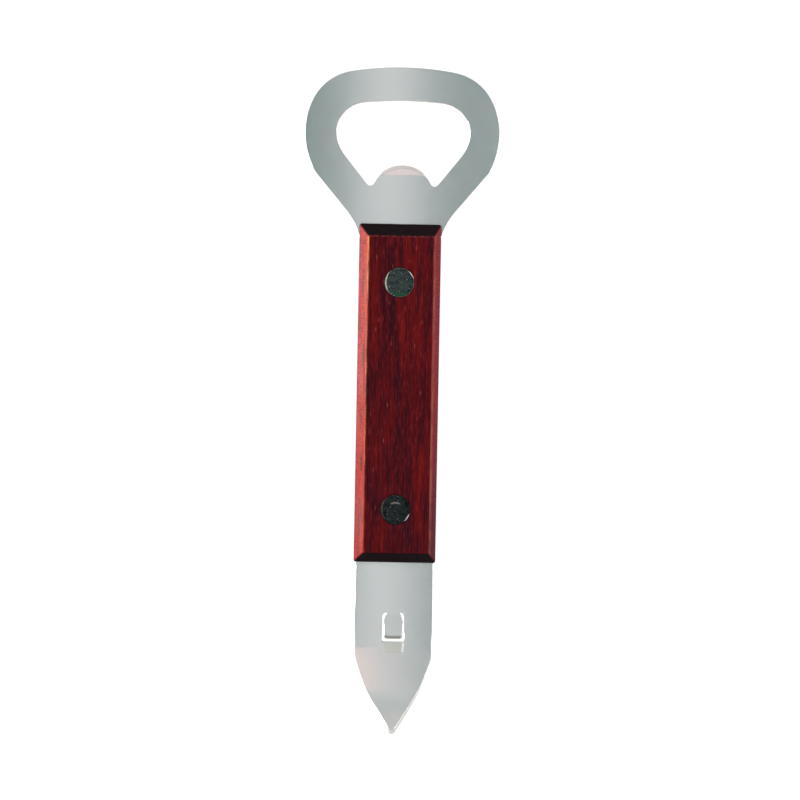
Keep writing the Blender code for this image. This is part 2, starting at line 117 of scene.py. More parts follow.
bpy.ops.mesh.primitive_plane_add(size=FLOOR_SIZE, location=(0, 0, cad_low.z))
floor = bpy.context.object
floor.name = "floor"
white_table = bpy.data.materials.new("matt_white_table")
white_table.use_nodes = True
shader = white_table.node_tree.nodes["Principled BSDF"]
shader.inputs["Base Color"].default_value = linear(FLOOR_TONE)
shader.inputs["Roughness"].default_value = FLOOR_ROUGHNESS
shader.inputs["Emission Color"].default_value = linear("#ffffff")
shader.inputs["Emission Strength"].default_value = FLOOR_GLOW
floor.data.materials.append(white_table)


# ---- Steel stamping ----
# Loop, lip, tang, hook and point are one blank of 2 mm stainless sheet, sheared, lanced and
# bent, then tumbled with fine grit, which rounds its edges and leaves a soft satin face.
SHEET_THICKNESS = 0.002
EDGE_ROUNDING = 0.00009
ROUNDING_STEPS = 3
MERGE_DISTANCE = 0.000002     # the CAD mesh comes as loose triangles
FLAT_WITHIN = radians(0.4)
SHARP_CORNER = radians(50)
WINDOW_LOWER_Y = -0.0647      # lower edge of the window that the hook was lanced from
PAINTED_REFLECTION_START = 0.0002            # the painted reflection below the window: where it starts,
PAINTED_REFLECTION_FULL = 0.0022             # how far it is at full strength across and down,
PAINTED_REFLECTION_REACH_ACROSS = 0.0030     # and how far it reaches each way
PAINTED_REFLECTION_REACH_DOWN = 0.0031
GLINT_LINE_OFF_MIDDLE = 0.0028
GLINT_LINE_LEAN = 0.10
GLINT_LINE_CORE = 0.0001
GLINT_LINE_REACH = 0.0004
STEEL_TONE = "#cad1cf"
STEEL_SPECK_TONE = "#7f8580"
PAINTED_REFLECTION_TONE = "#d9dccf"
PAINTED_GLINT_TONE = "#fdffff"
SHEARED_TONE = "#c9c2bd"
STEEL_ROUGHNESS = 0.25
STEEL_CLOUDING = 0.004        # how far the roughness drifts across the faces
PAINTED_REFLECTION_ROUGHNESS = 0.05       # added on the patch of painted reflection below the window
SHEARED_ROUGHNESS = 0.25      # added on the sheared sides
STEEL_GRAIN_HEIGHT = 0.00002


def make_active(thing):
    bpy.ops.object.select_all(action="DESELECT")
    thing.select_set(True)
    bpy.context.view_layer.objects.active = thing


def select_edges(thing, wanted):
    """Leave edit mode with only the wanted edges selected, then enter it again."""
    bpy.ops.mesh.select_mode(type="EDGE")
    bpy.ops.mesh.select_all(action="DESELECT")
    bpy.ops.object.mode_set(mode="OBJECT")
    for edge in thing.data.edges:
        edge.select = wanted(edge)
    bpy.ops.object.mode_set(mode="EDIT")


def edge_angles(mesh):
    """The angle between the two faces at each edge of a closed mesh."""
    normals = {}
    for face in mesh.polygons:
        for key in face.edge_keys:
            normals.setdefault(key, []).append(face.normal)
    return {key: pair[0].angle(pair[1]) for key, pair in normals.items() if len(pair) == 2}


def finish_smooth(thing, angle):
    """Smooth rounded edges while the flats stay flat."""
    make_active(thing)
    bpy.ops.object.shade_smooth_by_angle(angle=angle)
    bpy.ops.object.modifier_add(type="WEIGHTED_NORMAL")
    thing.modifiers[-1].keep_sharp = True
    bpy.ops.object.modifier_apply(modifier=thing.modifiers[-1].name)


def add_node(tree, kind, settings=(), stops=(), **inputs):
    """A shader node with its settings and, on a colour ramp, its stops. An input goes by its name,
    or by its place as i0 or i1, and takes a plain value or the node or socket that feeds it."""
    node = tree.nodes.new("ShaderNode" + kind)
    for name, value in dict(settings).items():
        setattr(node, name, value)
    if stops:
        while len(node.color_ramp.elements) < len(stops):
            node.color_ramp.elements.new(0.5)
        for element, (position, colour) in zip(node.color_ramp.elements, stops):
            element.position = position
            element.color = linear(colour)
    for name, value in inputs.items():
        socket = node.inputs[int(name[1:]) if name[1:].isdigit() else name.replace("_", " ")]
        if isinstance(value, bpy.types.Node):
            value = next(output for output in value.outputs if output.enabled)
        if isinstance(value, bpy.types.NodeSocket):
            tree.links.new(value, socket)
        else:
            socket.default_value = value
    return node


MM = 1000                     # patterns are drawn in millimetres
TIMES = {"operation": "MULTIPLY"}
PLUS = {"operation": "ADD"}
MINUS = {"operation": "SUBTRACT"}
UNSIGNED = {"operation": "ABSOLUTE"}
SMOOTH = {"interpolation_type": "SMOOTHSTEP"}
OVER = {"data_type": "RGBA"}
STAINED = {"data_type": "RGBA", "blend_type": "MULTIPLY"}

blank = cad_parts["opener_blade"].data.copy()
blade = bpy.data.objects.new("steel_stamping", blank)
bpy.context.scene.collection.objects.link(blade)
blank.materials.clear()
make_active(blade)
bpy.ops.object.mode_set(mode="EDIT")
bpy.ops.mesh.select_all(action="SELECT")
bpy.ops.mesh.remove_doubles(threshold=MERGE_DISTANCE)
bpy.ops.mesh.dissolve_limited(angle_limit=FLAT_WITHIN)
bpy.ops.object.mode_set(mode="OBJECT")
angles = edge_angles(blade.data)
bpy.ops.object.mode_set(mode="EDIT")


def is_sheared(edge):
    """Edges between a face of the sheet and a sheared side, but not the ones that cross the side."""
    first, last = (blade.data.vertices[i].co for i in edge.vertices)
    crosses = (abs((last - first).length - SHEET_THICKNESS) < SHEET_THICKNESS / 20
               and abs(last.z - first.z) > 0.6 * SHEET_THICKNESS)
    return angles.get(tuple(sorted(edge.vertices)), 0) > SHARP_CORNER and not crosses


select_edges(blade, is_sheared)
bpy.ops.mesh.bevel(offset=EDGE_ROUNDING, segments=ROUNDING_STEPS, affect="EDGES")
bpy.ops.object.mode_set(mode="OBJECT")
finish_smooth(blade, radians(35))

# Tumbled stainless steel, a soft grey shine. It clouds over about 3 mm, carries a few dark specks
# 2 mm apart, and its grain is drawn 0.3 mm wide, coarser than the real grit's, so that it shows.
steel = bpy.data.materials.new("tumbled_stainless_steel")
steel.use_nodes = True
tree = steel.node_tree
shader = tree.nodes["Principled BSDF"]
shader.inputs["Metallic"].default_value = 1.0
here = add_node(tree, "TexCoord").outputs["Object"]
place = add_node(tree, "SeparateXYZ", Vector=here)
cloud = add_node(tree, "TexNoise", Scale=1.0, Detail=3.0, Roughness=0.5, Vector=add_node(
    tree, "Mapping", Vector=here, Scale=[0.35 * MM] * 3, Location=(1, 2, 0)))
grain = add_node(tree, "TexNoise", Scale=1.0, Detail=2.0, Roughness=0.6, Vector=add_node(
    tree, "Mapping", Vector=here, Scale=[3.4 * MM] * 3))
cells = add_node(tree, "TexVoronoi", Scale=1.0, Randomness=1.0, Vector=add_node(
    tree, "Mapping", Vector=here, Scale=[0.5 * MM] * 3))
cell_pick = add_node(tree, "SeparateColor", Color=cells.outputs["Color"])
speck_dots = add_node(tree, "MapRange", SMOOTH, Value=cells.outputs["Distance"],
                      From_Min=0.04, From_Max=0.09, To_Min=1.0, To_Max=0.0)
speck_pick = add_node(tree, "MapRange", SMOOTH, Value=cell_pick.outputs["Red"],
                      From_Min=0.80, From_Max=0.92)
specks = add_node(tree, "Math", TIMES, i0=speck_dots, i1=speck_pick)
speck_share = add_node(tree, "Math", TIMES, i0=specks, i1=0.35)

# Below the window, a pale patch painted as the hook's reflection in the bend, and one bright leaning line of
# painted highlight
below_window = add_node(tree, "Math", MINUS, i0=WINDOW_LOWER_Y, i1=place.outputs["Y"])
reflection_fade_in = add_node(tree, "MapRange", SMOOTH, Value=below_window, From_Min=0.0, From_Max=PAINTED_REFLECTION_START)
reflection_fade_out = add_node(tree, "MapRange", SMOOTH, Value=below_window, From_Min=PAINTED_REFLECTION_FULL,
                   From_Max=PAINTED_REFLECTION_REACH_DOWN, To_Min=1.0, To_Max=0.0)
reflection_along = add_node(tree, "Math", TIMES, i0=reflection_fade_in, i1=reflection_fade_out)
off_middle = add_node(tree, "Math", UNSIGNED, i0=place.outputs["X"])
reflection_across = add_node(tree, "MapRange", SMOOTH, Value=off_middle, From_Min=PAINTED_REFLECTION_FULL,
                      From_Max=PAINTED_REFLECTION_REACH_ACROSS, To_Min=1.0, To_Max=0.0)
painted_light_patch = add_node(tree, "Math", TIMES, i0=reflection_across, i1=reflection_along)
reflection_share = add_node(tree, "Math", TIMES, i0=painted_light_patch, i1=0.55)
# The painted highlight: one bright line leaning across the painted reflection
glint_lean_offset = add_node(tree, "Math", TIMES, i0=below_window, i1=GLINT_LINE_LEAN)
glint_line_place = add_node(tree, "Math", PLUS, i0=place.outputs["X"], i1=glint_lean_offset)
from_glint_line = add_node(tree, "Math", UNSIGNED, i0=add_node(
    tree, "Math", MINUS, i0=glint_line_place, i1=GLINT_LINE_OFF_MIDDLE))
glint_line_fade = add_node(tree, "MapRange", SMOOTH, Value=from_glint_line, From_Min=GLINT_LINE_CORE,
                     From_Max=GLINT_LINE_REACH, To_Min=1.0, To_Max=0.0)
painted_glint_line = add_node(tree, "Math", TIMES, i0=glint_line_fade, i1=reflection_along)

# The sheared sides were torn rather than tumbled, so they are duller and rougher than the faces
facing = add_node(tree, "SeparateXYZ", Vector=add_node(tree, "NewGeometry").outputs["Normal"])
sheared = add_node(tree, "MapRange", SMOOTH, From_Min=0.45, From_Max=0.70, To_Min=1.0, To_Max=0.0,
                   Value=add_node(tree, "Math", UNSIGNED, i0=facing.outputs["Z"]))

cloud_tone = add_node(tree, "MapRange", SMOOTH, Value=cloud, From_Min=0.3, From_Max=0.7,
                      To_Min=0.98, To_Max=1.02)
colour = add_node(tree, "Mix", STAINED, i0=1.0, i6=linear(STEEL_TONE), i7=cloud_tone)
# Laid over the steel in turn: dark specks, the painted reflection, the painted highlight line and the duller
# sheared sides
for share, tone in ((speck_share, STEEL_SPECK_TONE), (reflection_share, PAINTED_REFLECTION_TONE), (painted_glint_line, PAINTED_GLINT_TONE),
                    (sheared, SHEARED_TONE)):
    colour = add_node(tree, "Mix", OVER, i0=share, i6=colour, i7=linear(tone))
roughness = add_node(tree, "MapRange", SMOOTH, Value=cloud, From_Min=0.3, From_Max=0.7,
                     To_Min=STEEL_ROUGHNESS - STEEL_CLOUDING, To_Max=STEEL_ROUGHNESS + STEEL_CLOUDING)
for share, added in ((sheared, SHEARED_ROUGHNESS), (painted_light_patch, PAINTED_REFLECTION_ROUGHNESS)):
    roughness = add_node(tree, "Math", PLUS, i0=roughness,
                         i1=add_node(tree, "Math", TIMES, i0=share, i1=added))
bump = add_node(tree, "Bump", Height=grain, Strength=0.10, Distance=STEEL_GRAIN_HEIGHT)
tree.links.new(colour.outputs[2], shader.inputs["Base Color"])
tree.links.new(roughness.outputs[0], shader.inputs["Roughness"])
tree.links.new(bump.outputs["Normal"], shader.inputs["Normal"])
blade.data.materials.append(steel)

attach(blade, "root")
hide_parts("opener_blade")


# ---- Wooden scales ----
# Two equal scales of close-grained hardwood, planed, chamfered on a router, stained red and
# rubbed with a little oil. The back one is the front one turned over.
CHAMFER_DEPTH = 0.0024
LEFT_CHAMFER = 0.0025
RIGHT_CHAMFER = 0.0019
UPPER_CHAMFER = 0.0034
LOWER_CHAMFER = 0.0025
SCALE_CORNER_RADIUS = 0.0006
ARRIS_ROUNDING = 0.00022
ARRIS_CORNER = radians(25)
SEAT_CLEARANCE = 0.00004      # the wood lies on the steel, closer than the CAD's gap
CAD_GAP = 0.0003
CUTTER_LENGTH = 0.02
WOOD_SHEEN = 0.065

scale_low, scale_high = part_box("front_scale")
sheet_middle = scale_low.z - CAD_GAP - SHEET_THICKNESS / 2
length = scale_high.y - scale_low.y
width = scale_high.x - scale_low.x
centre_y = (scale_high.y + scale_low.y) / 2
wall_top = scale_high.z - CHAMFER_DEPTH
wall_bottom = scale_low.z - CAD_GAP + SEAT_CLEARANCE
bpy.ops.object.select_all(action="DESELECT")
bpy.ops.mesh.primitive_cube_add(size=1, location=(0, centre_y, (wall_top + wall_bottom) / 2),
                                scale=(width, length, wall_top - wall_bottom))
front_scale = bpy.context.object
front_scale.name = front_scale.data.name = "front_wooden_scale"
bpy.ops.object.transform_apply(location=True, rotation=False, scale=True)


def is_upright(edge):
    first, last = (front_scale.data.vertices[i].co for i in edge.vertices)
    return abs(first.z - last.z) > 0.001


def is_arris(edge):
    """A corner between two faces of the scale, away from its seat on the steel."""
    above_seat = front_scale.data.vertices[edge.vertices[0]].co.z > wall_bottom + 0.001
    return angles[tuple(sorted(edge.vertices))] > ARRIS_CORNER and above_seat


def select_faces(thing, wanted):
    """Leave edit mode with only the wanted faces selected, then enter it again."""
    bpy.ops.mesh.select_mode(type="FACE")
    bpy.ops.mesh.select_all(action="DESELECT")
    bpy.ops.object.mode_set(mode="OBJECT")
    for face in thing.data.polygons:
        face.select = wanted(face)
    bpy.ops.object.mode_set(mode="EDIT")


bpy.ops.object.mode_set(mode="EDIT")
select_edges(front_scale, is_upright)
bpy.ops.mesh.bevel(offset=SCALE_CORNER_RADIUS, segments=4, affect="EDGES")
select_faces(front_scale, lambda face: face.normal.z > 0.9)
bpy.ops.mesh.extrude_region_move(TRANSFORM_OT_translate={"value": (0, 0, CHAMFER_DEPTH)})
bpy.ops.transform.resize(value=(1 - (LEFT_CHAMFER + RIGHT_CHAMFER) / width,
                                1 - (UPPER_CHAMFER + LOWER_CHAMFER) / length, 1))
bpy.ops.transform.translate(value=((LEFT_CHAMFER - RIGHT_CHAMFER) / 2,
                                   (LOWER_CHAMFER - UPPER_CHAMFER) / 2, 0))
bpy.ops.object.mode_set(mode="OBJECT")
angles = edge_angles(front_scale.data)
bpy.ops.object.mode_set(mode="EDIT")
select_edges(front_scale, is_arris)
bpy.ops.mesh.bevel(offset=ARRIS_ROUNDING, segments=3, affect="EDGES")
bpy.ops.object.mode_set(mode="OBJECT")

# Each rivet's stepped hole: a recess that its head just fits, and a hole for its tube
RIVET_HEAD_THICKNESS = 0.0012
RIVET_HEAD_RADIUS = 0.004
HEAD_FIT = 0.00003
HEAD_RAISED = 0.00008         # the heads stand a hair higher than in the CAD
TUBE_HOLE_RADIUS = 0.0025
ROUND_STEPS = 96
rivet_places = {}
for name in ("upper", "lower"):
    low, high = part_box(f"{name}_rivet_post")
    rivet_places[name] = (low.y + high.y) / 2
head_front = high.z + HEAD_RAISED
head_seat = head_front - RIVET_HEAD_THICKNESS - HEAD_FIT
for y in rivet_places.values():
    for bottom, radius in ((head_seat, RIVET_HEAD_RADIUS + HEAD_FIT), (0, TUBE_HOLE_RADIUS)):
        bpy.ops.object.select_all(action="DESELECT")
        bpy.ops.mesh.primitive_cylinder_add(vertices=ROUND_STEPS, radius=radius, depth=CUTTER_LENGTH,
                                            location=(0, y, bottom + CUTTER_LENGTH / 2))
        cutter = bpy.context.object
        make_active(front_scale)
        bpy.ops.object.modifier_add(type="BOOLEAN")
        hole = front_scale.modifiers[-1]
        hole.object = cutter
        bpy.ops.object.modifier_apply(modifier=hole.name)
        bpy.data.objects.remove(cutter)

# The stain sinks deepest into the end grain, which turns almost black. The routed sides are painted lighter
# than the face, partly a thinner stain and partly painted light from the low side lamps, and the upright
# walls are painted almost black, a painted shade. The planed face is streaked along the grain, with short
# pale open pores.
wood = bpy.data.materials.new("red_stained_oiled_hardwood")
wood.use_nodes = True
tree = wood.node_tree
shader = tree.nodes["Principled BSDF"]
shader.inputs["Specular IOR Level"].default_value = WOOD_SHEEN
here = add_node(tree, "TexCoord").outputs["Object"]
place = add_node(tree, "SeparateXYZ", Vector=here)

# Broad streaks are about 3 mm wide and 33 mm long, fine ones 0.7 by 12 mm, hairs 0.3 by 2.5 mm.
# cells a millimetre across, along and up; shift; detail; roughness; distortion
WOOD_PATTERNS = {
    "broad_streaks": ((0.34, 0.030, 0.34), (3.1, 0.4, 0), 2.0, 0.5, 0.6),
    "fine_streaks": ((1.5, 0.085, 1.5), (0, 7, 0), 3.0, 0.5, 0.3),
    "hair_streaks": ((3.4, 0.40, 3.4), (5, 0, 0), 2.0, 0.5, 0.0),
    "side_streaks": ((1.5, 0.14, 1.5), (0, 2, 4), 3.0, 0.5, 0.0),
    "flecks": ((1.0, 2.4, 1.0), (9, 1, 3), 3.0, 0.7, 0.0),
    "end_grain": ((2.2, 2.2, 2.2), (0, 0, 0), 3.0, 0.5, 0.0),
    "side_highlight_breakup": ((1.4, 0.22, 1.4), (2, 6, 0), 2.0, 0.5, 0.0),
    "end_highlight_breakup": ((0.9, 2.0, 0.9), (6, 6, 0), 3.0, 0.5, 0.0),
}
pattern = {}
for name, (cells_per_mm, shift, detail, fineness, distortion) in WOOD_PATTERNS.items():
    laid = add_node(tree, "Mapping", Vector=here, Scale=[MM * n for n in cells_per_mm], Location=shift)
    pattern[name] = add_node(tree, "TexNoise", Vector=laid, Scale=1.0, Detail=detail,
                             Roughness=fineness, Distortion=distortion)

# Planed face: broad and fine streaks, dark and pale hairs between them, and open pores
streaks = add_node(tree, "Math", PLUS,
                   i0=add_node(tree, "Math", TIMES, i0=pattern["fine_streaks"], i1=0.62),
                   i1=add_node(tree, "Math", TIMES, i0=pattern["broad_streaks"], i1=0.38))
face_colour = add_node(tree, "ValToRGB", Fac=streaks, stops=(
    (0.32, "#2d0b18"), (0.42, "#450c17"), (0.50, "#590d14"), (0.58, "#6c1013"), (0.68, "#7e1912")))
hair_tone = add_node(tree, "MapRange", SMOOTH, Value=pattern["hair_streaks"], From_Min=0.3, From_Max=0.7,
                     To_Min=0.78, To_Max=1.20)
face_colour = add_node(tree, "Mix", STAINED, i0=1.0, i6=face_colour, i7=hair_tone)
pale_hair = add_node(tree, "MapRange", SMOOTH, Value=pattern["hair_streaks"], From_Min=0.56,
                     From_Max=0.74, To_Max=0.35)
face_colour = add_node(tree, "Mix", OVER, i0=pale_hair, i6=face_colour, i7=linear("#93303a"))
cells = add_node(tree, "TexVoronoi", Scale=1.0, Randomness=1.0, Vector=add_node(
    tree, "Mapping", Vector=here, Scale=[1.15 * MM, 0.27 * MM, 1.15 * MM]))
cell_pick = add_node(tree, "SeparateColor", Color=cells.outputs["Color"])
pore_shape = add_node(tree, "MapRange", SMOOTH, Value=cells.outputs["Distance"],
                      From_Min=0.08, From_Max=0.26, To_Min=1.0, To_Max=0.0)
pore_pick = add_node(tree, "MapRange", SMOOTH, Value=cell_pick.outputs["Red"],
                     From_Min=0.74, From_Max=1.0)
pores = add_node(tree, "Math", TIMES, i0=pore_shape, i1=pore_pick)
pore_share = add_node(tree, "Math", TIMES, i0=pores, i1=0.62)
face_colour = add_node(tree, "Mix", OVER, i0=pore_share, i6=face_colour, i7=linear("#a8504a"))

# Sides: the routed chamfers, with the cutter's fine cross marks and brown flecks. They are painted lighter
# than the face, partly a thinner stain and partly painted light from the low side lamps, and are darker
# towards the outer edges and the lower end, crimson on the right.
side_colour = add_node(tree, "ValToRGB", Fac=pattern["side_streaks"], stops=(
    (0.32, "#50201a"), (0.44, "#7a261c"), (0.56, "#8a2a21"), (0.70, "#923221")))
fleck_tone = add_node(tree, "MapRange", SMOOTH, Value=pattern["flecks"], From_Min=0.34, From_Max=0.62,
                      To_Min=0.62, To_Max=1.16)
side_colour = add_node(tree, "Mix", STAINED, i0=1.0, i6=side_colour, i7=fleck_tone)
outer_edge = add_node(tree, "MapRange", SMOOTH, From_Min=0.0093, From_Max=0.0106, To_Max=0.6,
                      Value=add_node(tree, "Math", UNSIGNED, i0=place.outputs["X"]))
outer_colour = add_node(tree, "Mix", STAINED, i0=1.0, i6=linear("#7c2630"), i7=fleck_tone)
side_colour = add_node(tree, "Mix", OVER, i0=outer_edge, i6=side_colour, i7=outer_colour)
upwards = add_node(tree, "MapRange", SMOOTH, Value=place.outputs["Y"], From_Min=-0.045, From_Max=0.040)
darker_below = add_node(tree, "ValToRGB", Fac=upwards, stops=(
    (0.0, "#e87c5c"), (0.35, "#f2b8a4"), (0.75, "#ffffff")))
side_colour = add_node(tree, "Mix", STAINED, i0=1.0, i6=side_colour, i7=darker_below)
right_half = add_node(tree, "MapRange", SMOOTH, Value=place.outputs["X"], From_Min=-0.002,
                      From_Max=0.002)
right_share = add_node(tree, "Math", TIMES, i0=right_half, i1=0.75)
right_colour = add_node(tree, "Mix", STAINED, i0=1.0, i6=linear("#761b27"), i7=fleck_tone)
side_colour = add_node(tree, "Mix", OVER, i0=right_share, i6=side_colour, i7=right_colour)
lower_right = add_node(tree, "Math", TIMES, i0=right_half, i1=add_node(
    tree, "MapRange", SMOOTH, Value=place.outputs["Y"], From_Min=-0.045, From_Max=0.0,
    To_Min=1.0, To_Max=0.0))
lower_right_colour = add_node(tree, "Mix", STAINED, i0=1.0, i6=linear("#4e1420"), i7=fleck_tone)
side_colour = add_node(tree, "Mix", OVER, i0=lower_right, i6=side_colour, i7=lower_right_colour)

facing = add_node(tree, "SeparateXYZ", Vector=add_node(tree, "NewGeometry").outputs["Normal"])
facing_side = add_node(tree, "Math", UNSIGNED, i0=facing.outputs["X"])
facing_end = add_node(tree, "Math", UNSIGNED, i0=facing.outputs["Y"])
is_side = add_node(tree, "MapRange", SMOOTH, Value=facing_side, From_Min=0.30, From_Max=0.55)
# The upright walls are painted almost black, a painted shade
is_wall = add_node(tree, "MapRange", SMOOTH, Value=facing_side, From_Min=0.80, From_Max=0.92)
is_end = add_node(tree, "MapRange", SMOOTH, Value=facing_end, From_Min=0.18, From_Max=0.42)
end_colour = add_node(tree, "ValToRGB", Fac=pattern["end_grain"], stops=(
    (0.35, "#120a0e"), (0.55, "#1c0d10"), (0.75, "#241214")))

# Painted highlights along the arrises where the planed face meets the chamfers: orange, strongest towards the
# loop on the left, and a duller brown in a wider band on the right and at the upper end.
# coordinate, where the highlight line lies, how far it is at full strength, how far it reaches, the pattern
# that breaks it up, that pattern's two limits, and the highlight's strength at each
ARRIS_HIGHLIGHT_LINES = {
    "left": ("X", LEFT_CHAMFER - width / 2, 0.00010, 0.00042, "side_highlight_breakup", 0.42, 0.64, 0.25, 1.0),
    "right": ("X", width / 2 - RIGHT_CHAMFER + 0.0003, 0.00012, 0.00048, "side_highlight_breakup", 0.36, 0.60, 0.20, 0.85),
    "upper": ("Y", scale_high.y - UPPER_CHAMFER, 0.00008, 0.00036, "end_highlight_breakup", 0.44, 0.62, 0.2, 0.95),
}
arris_highlight = {}
for name, (axis, line, full, reach, breakup_pattern, low, high, least, most) in ARRIS_HIGHLIGHT_LINES.items():
    from_line = add_node(tree, "Math", UNSIGNED, i0=add_node(
        tree, "Math", MINUS, i0=place.outputs[axis], i1=line))
    band = add_node(tree, "MapRange", SMOOTH, Value=from_line, From_Min=full, From_Max=reach,
                    To_Min=1.0, To_Max=0.0)
    broken = add_node(tree, "MapRange", SMOOTH, Value=pattern[breakup_pattern], From_Min=low, From_Max=high,
                      To_Min=least, To_Max=most)
    arris_highlight[name] = add_node(tree, "Math", TIMES, i0=band, i1=broken)
towards_loop = add_node(tree, "MapRange", SMOOTH, Value=place.outputs["Y"], From_Min=0.015,
                        From_Max=0.042, To_Min=0.25, To_Max=0.95)
arris_highlight["left"] = add_node(tree, "Math", TIMES, i0=arris_highlight["left"], i1=towards_loop)

# Laid over the face in turn: the sides, the painted highlights along the left and right arrises, the walls in
# painted shade, the end grain, and the painted highlight along the upper arris
colour = face_colour
for share, laid_over in ((is_side, side_colour), (arris_highlight["left"], linear("#b8683c")),
                         (arris_highlight["right"], linear("#8c4232")), (is_wall, linear("#240c12")),
                         (is_end, end_colour), (arris_highlight["upper"], linear("#7c3030"))):
    colour = add_node(tree, "Mix", OVER, i0=share, i6=colour, i7=laid_over)
roughness = add_node(tree, "MapRange", SMOOTH, Value=pattern["fine_streaks"], From_Min=0.3, From_Max=0.7,
                     To_Min=0.42, To_Max=0.58)

# Raised hairs and sunken pores on the face, and the cutter's marks across the routed sides
hair_height = add_node(tree, "Math", TIMES, i0=pattern["hair_streaks"], i1=0.5)
grain_height = add_node(tree, "Math", MINUS, i0=hair_height, i1=pores)
grain_bump = add_node(tree, "Bump", Height=grain_height, Strength=0.35, Distance=0.00006)
cutter_marks = add_node(tree, "TexWave", {"bands_direction": "Y"}, Scale=1.0, Distortion=1.2, Detail=1.0,
                        Vector=add_node(tree, "Mapping", Vector=here,
                                        Scale=[0.05 * MM, 0.45 * MM, 0.05 * MM]))
mark_height = add_node(tree, "Math", TIMES, i0=cutter_marks.outputs["Fac"], i1=is_side)
mark_bump = add_node(tree, "Bump", Height=mark_height, Strength=0.3, Distance=0.00005,
                     Normal=grain_bump)
tree.links.new(colour.outputs[2], shader.inputs["Base Color"])
tree.links.new(roughness.outputs[0], shader.inputs["Roughness"])
tree.links.new(mark_bump.outputs["Normal"], shader.inputs["Normal"])

front_scale.data.materials.append(wood)
finish_smooth(front_scale, radians(30))
make_active(front_scale)
bpy.ops.object.duplicate()
back_scale = bpy.context.object
back_scale.name = back_scale.data.name = "back_wooden_scale"
bpy.ops.object.mode_set(mode="EDIT")
bpy.ops.mesh.select_all(action="SELECT")
bpy.ops.transform.rotate(value=pi, orient_axis="Y", center_override=(0, 0, sheet_middle))
bpy.ops.object.mode_set(mode="OBJECT")

for piece, node in ((front_scale, "front_scale"), (back_scale, "back_scale")):
    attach(piece, "root")
    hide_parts(node)


# ---- Rivets ----
# Two compression rivets of blackened steel: from the front a flat-headed post, from the back a flat-headed
# tube that it is pressed into. The pressing leaves the heads scratched; their bright rims are painted
# highlights, and their darkness is partly painted shade.
RIM_ROUNDING = 0.00020
DOME_HEIGHT = 0.00008
SHANK_RADIUS = 0.0013
TUBE_RADIUS = 0.0022
DOME_STEPS = ((0.0010, 0.45), (0.0010, 0.30), (0.0010, 0.20), (0.0007, 0.05))   # inwards, share of rise
CRESCENT_RIM = 0.00335        # where the painted rim highlight starts on the left, and elsewhere
NARROW_RIM = 0.00368
RIM_SHARPNESS = 6000.0
PAINTED_HIGHLIGHT_ARC_RADIUS = 0.0018
UPPER_RIVET_TONE = 1.0        # the lower rivet is painted darker than the upper one
LOWER_RIVET_TONE = 0.40

socket_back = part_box("upper_rivet_socket")[0].z
tube_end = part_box("upper_rivet_socket")[1].z
shank_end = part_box("upper_rivet_post")[0].z


def rivet_half(name, y, front, shank_radius, shank_length, bore_radius=None):
    """A rivet half with its head's face at z = front, shaped from a disc, with its shank down."""
    disc_depth = RIVET_HEAD_THICKNESS - DOME_HEIGHT
    rim = front - DOME_HEIGHT
    bpy.ops.object.select_all(action="DESELECT")
    bpy.ops.mesh.primitive_cylinder_add(vertices=ROUND_STEPS, radius=RIVET_HEAD_RADIUS,
                                        depth=disc_depth, location=(0, y, rim - disc_depth / 2))
    half = bpy.context.object
    half.name = half.data.name = name
    bpy.ops.object.transform_apply(location=True, rotation=False, scale=False)
    bpy.ops.object.mode_set(mode="EDIT")
    select_faces(half, lambda face: face.normal.z > 0.9)
    for inset, rise in DOME_STEPS:
        bpy.ops.mesh.inset(thickness=inset)
        bpy.ops.transform.translate(value=(0, 0, rise * DOME_HEIGHT))
    select_faces(half, lambda face: face.normal.z < -0.9)
    bpy.ops.mesh.inset(thickness=RIVET_HEAD_RADIUS - shank_radius)
    bpy.ops.mesh.extrude_region_move(TRANSFORM_OT_translate={"value": (0, 0, -shank_length)})
    if bore_radius:
        bpy.ops.mesh.inset(thickness=shank_radius - bore_radius)
        bpy.ops.mesh.extrude_region_move(
            TRANSFORM_OT_translate={"value": (0, 0, shank_length - RIVET_HEAD_THICKNESS / 3)})

    def is_rim(edge):
        first, last = (half.data.vertices[i].co for i in edge.vertices)
        return all(abs(p.z - rim) < 1e-5 and Vector((p.x, p.y - y)).length > 0.99 * RIVET_HEAD_RADIUS
                   for p in (first, last))

    select_edges(half, is_rim)
    bpy.ops.mesh.bevel(offset=RIM_ROUNDING, segments=5, affect="EDGES")
    bpy.ops.object.mode_set(mode="OBJECT")
    return half


# Steel blackened with oil, a dark metal mottled blue and green over about 1 mm, with scratches 0.15 mm wide;
# its darkness is partly painted shade, in place of the dark space above that the polished heads reflect. The
# lower rivet is painted darker than the upper one, with fewer specks and a weaker painted rim highlight.
rivet_steel = bpy.data.materials.new("dark_rivet_steel_with_painted_light")
rivet_steel.use_nodes = True
tree = rivet_steel.node_tree
shader = tree.nodes["Principled BSDF"]
shader.inputs["Metallic"].default_value = 1.0
here = add_node(tree, "TexCoord").outputs["Object"]
place = add_node(tree, "SeparateXYZ", Vector=here)
along = place.outputs["Y"]
patina = add_node(tree, "TexNoise", Scale=1.0, Detail=4.0, Roughness=0.6, Vector=add_node(
    tree, "Mapping", Vector=here, Scale=[0.9 * MM] * 3, Location=(4, 1, 0)))
scratches = add_node(tree, "TexNoise", Scale=1.0, Detail=3.0, Roughness=0.7, Vector=add_node(
    tree, "Mapping", Vector=here, Scale=[1.3 * MM, 7.0 * MM, 1.3 * MM]))
cells = add_node(tree, "TexVoronoi", Scale=1.0, Randomness=1.0, Vector=add_node(
    tree, "Mapping", Vector=here, Scale=[1.5 * MM] * 3))
cell_pick = add_node(tree, "SeparateColor", Color=cells.outputs["Color"])
